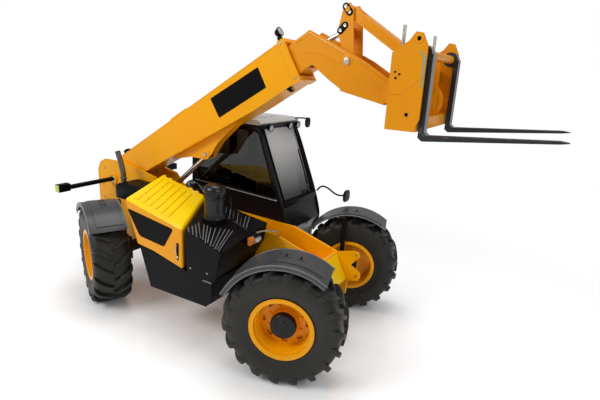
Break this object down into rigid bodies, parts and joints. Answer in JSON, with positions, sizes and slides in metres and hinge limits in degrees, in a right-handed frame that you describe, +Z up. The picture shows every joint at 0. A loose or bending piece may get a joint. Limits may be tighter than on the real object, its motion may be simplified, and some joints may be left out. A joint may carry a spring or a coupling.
{
  "type": "telehandler",
  "caption": "Telescopic handler with a raised boom, pallet forks, a side cab, an offset engine pod and four steered wheels",
  "frame": {"origin": "on the ground, below the middle of the machine's box", "axes": "+X forward, +Y to the machine's left, +Z up"},
  "size_m": [6.085, 2.7636, 3.7821],
  "materials": {
    "orange_paint": "semi-gloss enamel",
    "yellow_panel": "semi-gloss enamel",
    "black_plastic": "grained moulding",
    "black_paint": "satin paint",
    "engine_grey": "satin paint",
    "tyre_rubber": "dusty rubber",
    "chrome_rod": "ground and plated",
    "tinted_glass": "tinted",
    "roof_white": "gel coat",
    "seat_fabric": "woven",
    "pipe_steel": "heat stained",
    "lamp_white": "clear lens",
    "strut_red": "gloss enamel",
    "fork_black": "worn paint",
    "fender_grey": "weathered moulding"
  },
  "bodies": {
    "chassis": {"chassis_frame": "orange_paint", "counterweight": "black_paint", "axles": "black_paint", "engine_block": "engine_grey", "engine_housing": "black_plastic", "rear_cover": "black_plastic", "exhaust_pipe": "pipe_steel", "air_intake": "black_plastic", "cab_shell": "black_paint", "cab_roof": "roof_white", "cab_glass": "tinted_glass", "seat": "seat_fabric", "steering_wheel": "black_plastic", "side_tank": "black_plastic", "lamp_bars": "black_plastic", "mirrors": "black_plastic", "work_lamps": "lamp_white", "service_strut": "strut_red", "headlamps": "lamp_white"},
    "boom": {"outer_boom": "orange_paint", "boom_lamps": "black_plastic"},
    "boom_extension": {"inner_boom": "orange_paint"},
    "carriage": {"carriage": "orange_paint", "locking_rods": "pipe_steel"},
    "left_fork": {"fork_left": "fork_black"},
    "right_fork": {"fork_right": "fork_black"},
    "lever": {"tilt_lever": "orange_paint"},
    "link": {"tilt_link": "orange_paint"},
    "tilt_barrel": {"tilt_ram_barrel": "black_paint"},
    "tilt_rod": {"tilt_ram_rod": "chrome_rod"},
    "lift_barrel": {"lift_ram_barrel": "black_paint"},
    "lift_rod": {"lift_ram_rod": "chrome_rod"},
    "door": {"cab_door": "black_paint", "door_glass": "tinted_glass"},
    "hood": {"hood": "yellow_panel"},
    "knuckle_front_left": {"knuckle_front_left": "black_paint", "fender_front_left": "fender_grey"},
    "wheel_front_left": {"rim_front_left": "orange_paint", "tyre_front_left": "tyre_rubber"},
    "knuckle_front_right": {"knuckle_front_right": "black_paint", "fender_front_right": "fender_grey"},
    "wheel_front_right": {"rim_front_right": "orange_paint", "tyre_front_right": "tyre_rubber"},
    "knuckle_rear_left": {"knuckle_rear_left": "black_paint", "fender_rear_left": "fender_grey"},
    "wheel_rear_left": {"rim_rear_left": "orange_paint", "tyre_rear_left": "tyre_rubber"},
    "knuckle_rear_right": {"knuckle_rear_right": "black_paint", "fender_rear_right": "fender_grey"},
    "wheel_rear_right": {"rim_rear_right": "orange_paint", "tyre_rear_right": "tyre_rubber"}
  },
  "joints": [
    {"name": "boom_lift", "type": "hinge", "parent": "chassis", "child": "boom", "pos_m": [-2.6625, 0, 1.42], "axis": [0, -1, 0], "range_deg": [-34, 38]},
    {"name": "boom_extend", "type": "slide", "parent": "boom", "child": "boom_extension", "axis": [0.8572, 0, 0.515], "range_m": [0, 2.25]},
    {"name": "tilt", "type": "hinge", "parent": "boom_extension", "child": "carriage", "pos_m": [1.45748, 0, 2.92957], "axis": [0, 1, 0], "range_deg": [-45, 78]},
    {"name": "left_fork_shift", "type": "slide", "parent": "carriage", "child": "left_fork", "axis": [0, -1, 0], "range_m": [0, 0.24]},
    {"name": "right_fork_shift", "type": "slide", "parent": "carriage", "child": "right_fork", "axis": [0, 1, 0], "range_m": [0, 0.24]},
    {"name": "tilt_lever_turn", "type": "hinge", "parent": "boom_extension", "child": "lever", "pos_m": [0.98893, 0, 3.22785], "axis": [0, 1, 0], "range_deg": [-40.1, 69.14]},
    {"name": "tilt_link_turn", "type": "hinge", "parent": "lever", "child": "link", "pos_m": [0.93786, 0, 3.71864], "axis": [0, 1, 0], "range_deg": [-50.42, 29.3]},
    {"name": "tilt_ram_turn", "type": "hinge", "parent": "boom_extension", "child": "tilt_barrel", "pos_m": [-0.03103, 0, 3.05948], "axis": [0, 1, 0], "range_deg": [-5, 8.3]},
    {"name": "tilt_ram_stroke", "type": "slide", "parent": "tilt_barrel", "child": "tilt_rod", "axis": [0.8862, 0, 0.4634], "range_m": [-0.1983, 0.3423]},
    {"name": "lift_ram_turn", "type": "hinge", "parent": "chassis", "child": "lift_barrel", "pos_m": [-2.4925, 0, 0.7], "axis": [0, -1, 0], "range_deg": [-28.72, 32.04]},
    {"name": "lift_ram_stroke", "type": "slide", "parent": "lift_barrel", "child": "lift_rod", "axis": [0.7591, 0, 0.651], "range_m": [-0.358, 0.3999]},
    {"name": "steer_front", "type": "hinge", "parent": "chassis", "child": "knuckle_front_left", "pos_m": [0.8325, 0.75, 0.64], "axis": [0, 0, 1], "range_deg": [-53, 17]},
    {"name": "steer_front_right", "type": "hinge", "parent": "chassis", "child": "knuckle_front_right", "pos_m": [0.8325, -0.75, 0.64], "axis": [0, 0, 1], "range_deg": [-53.5, 17.5]},
    {"name": "steer_rear", "type": "hinge", "parent": "chassis", "child": "knuckle_rear_left", "pos_m": [-1.9175, 0.75, 0.64], "axis": [0, 0, -1], "range_deg": [-61, 9]},
    {"name": "steer_rear_right", "type": "hinge", "parent": "chassis", "child": "knuckle_rear_right", "pos_m": [-1.9175, -0.75, 0.64], "axis": [0, 0, -1], "range_deg": [-61.5, 9.5]},
    {"name": "spin_front_left", "type": "hinge", "parent": "knuckle_front_left", "child": "wheel_front_left", "pos_m": [0.77533, 0.92595, 0.64], "axis": [-0.309, 0.9511, 0], "continuous": true},
    {"name": "spin_front_right", "type": "hinge", "parent": "knuckle_front_right", "child": "wheel_front_right", "pos_m": [0.88967, -0.92595, 0.64], "axis": [-0.309, 0.9511, 0], "continuous": true},
    {"name": "spin_rear_left", "type": "hinge", "parent": "knuckle_rear_left", "child": "wheel_rear_left", "pos_m": [-1.8364, 0.91628, 0.64], "axis": [0.4384, 0.8988, 0], "continuous": true},
    {"name": "spin_rear_right", "type": "hinge", "parent": "knuckle_rear_right", "child": "wheel_rear_right", "pos_m": [-1.9986, -0.91628, 0.64], "axis": [0.4384, 0.8988, 0], "continuous": true},
    {"name": "door_swing", "type": "hinge", "parent": "chassis", "child": "door", "pos_m": [-1.0595, 1.116, 1.6], "axis": [0, 0, 1], "range_deg": [0, 90]},
    {"name": "hood_lift", "type": "hinge", "parent": "chassis", "child": "hood", "pos_m": [-1.3025, -0.284, 1.624], "axis": [-0.9806, 0, 0.1961], "range_deg": [0, 60]}
  ],
  "couplings": [
    {"joint": "tilt_lever_turn", "follows": "tilt", "ratio": 0.88},
    {"joint": "tilt_link_turn", "follows": "tilt", "ratio": -0.64},
    {"joint": "tilt_ram_turn", "follows": "tilt", "ratio": 0.1},
    {"joint": "tilt_ram_stroke", "follows": "tilt", "m_per_rad": 0.25},
    {"joint": "lift_ram_turn", "follows": "boom_lift", "ratio": 0.83},
    {"joint": "lift_ram_stroke", "follows": "boom_lift", "m_per_rad": 0.6},
    {"joint": "steer_front_right", "follows": "steer_front", "ratio": 1},
    {"joint": "steer_rear_right", "follows": "steer_rear", "ratio": 1}
  ]
}
